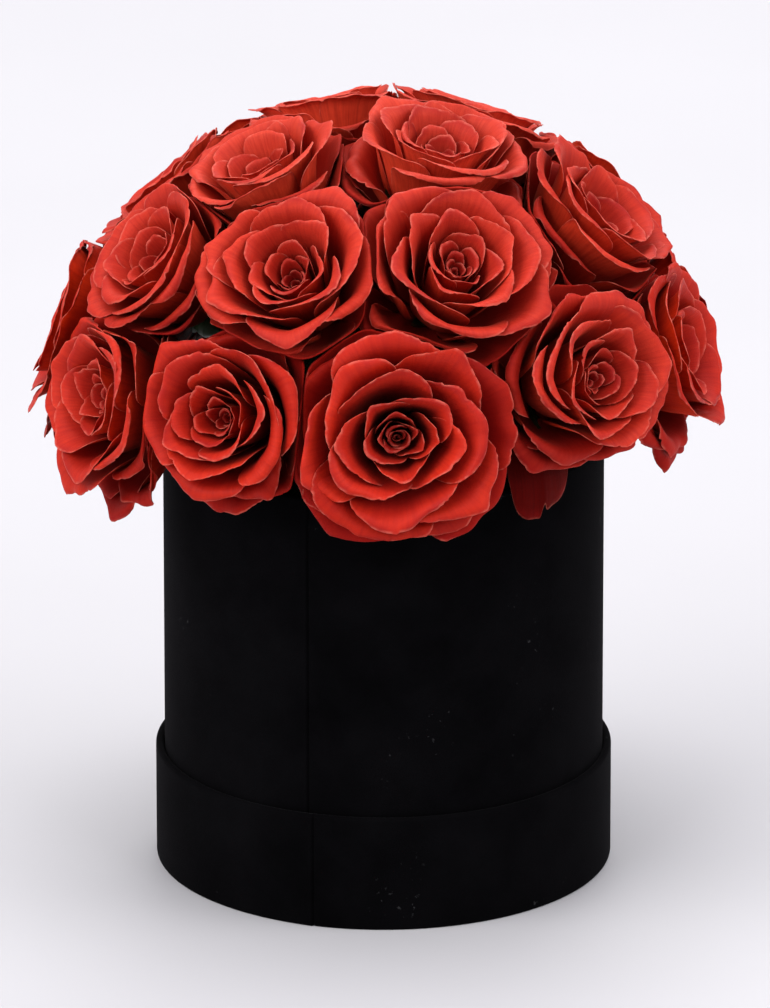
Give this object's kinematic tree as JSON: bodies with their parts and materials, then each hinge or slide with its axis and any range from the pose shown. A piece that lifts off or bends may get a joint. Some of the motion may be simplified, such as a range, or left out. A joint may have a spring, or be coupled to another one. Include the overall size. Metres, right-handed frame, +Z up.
{
  "type": "flower box",
  "caption": "Round velvet-covered flower box standing in its upturned lid, with a lined foam insert that holds a dome of open roses.",
  "frame": {"origin": "centre of the underside of the lid that the box stands in", "axes": "+Z up along the box's axis, -Y towards the front of the arrangement, where its largest low rose faces"},
  "size_m": [0.2464, 0.2441, 0.2867],
  "materials": {
    "black_velvet": "matte",
    "greyboard": "matte",
    "black_paper": "matte",
    "liner_film": "satin",
    "floral_foam": "matte",
    "green_stem": "satin",
    "rose_petal": "satin"
  },
  "bodies": {
    "lid": {"lid_side_board": "greyboard", "lid_base_board": "greyboard", "lid_side_velvet": "black_velvet", "lid_base_velvet": "black_velvet", "lid_lining": "black_paper"},
    "box": {"box_tube_board": "greyboard", "box_base_board": "greyboard", "box_side_velvet": "black_velvet", "box_base_cover": "black_paper", "box_lining": "black_paper"},
    "arrangement": {"liner_pot": "liner_film", "foam_base": "floral_foam", "foam_top": "floral_foam", "sepals": "green_stem", "stem_01": "green_stem", "stem_02": "green_stem", "stem_03": "green_stem", "stem_04": "green_stem", "stem_05": "green_stem", "stem_06": "green_stem", "stem_07": "green_stem", "stem_08": "green_stem", "stem_09": "green_stem", "stem_10": "green_stem", "stem_11": "green_stem", "stem_12": "green_stem", "stem_13": "green_stem", "stem_14": "green_stem", "stem_15": "green_stem", "stem_16": "green_stem", "stem_17": "green_stem", "stem_18": "green_stem", "stem_19": "green_stem", "stem_20": "green_stem", "stem_21": "green_stem", "stem_22": "green_stem", "stem_23": "green_stem", "bloom_01": "rose_petal", "bloom_02": "rose_petal", "bloom_03": "rose_petal", "bloom_04": "rose_petal", "bloom_05": "rose_petal", "bloom_06": "rose_petal", "bloom_07": "rose_petal", "bloom_08": "rose_petal", "bloom_09": "rose_petal", "bloom_10": "rose_petal", "bloom_11": "rose_petal", "bloom_12": "rose_petal", "bloom_13": "rose_petal", "bloom_14": "rose_petal", "bloom_15": "rose_petal", "bloom_16": "rose_petal", "bloom_17": "rose_petal", "bloom_18": "rose_petal", "bloom_19": "rose_petal", "bloom_20": "rose_petal", "bloom_21": "rose_petal", "bloom_22": "rose_petal", "bloom_23": "rose_petal"}
  },
  "joints": [
    {"name": "box_lift", "type": "slide", "parent": "lid", "child": "box", "axis": [0, 0, 1], "range_m": [0, 0.06]},
    {"name": "arrangement_lift", "type": "slide", "parent": "box", "child": "arrangement", "axis": [0, 0, 1], "range_m": [0, 0.175]}
  ]
}
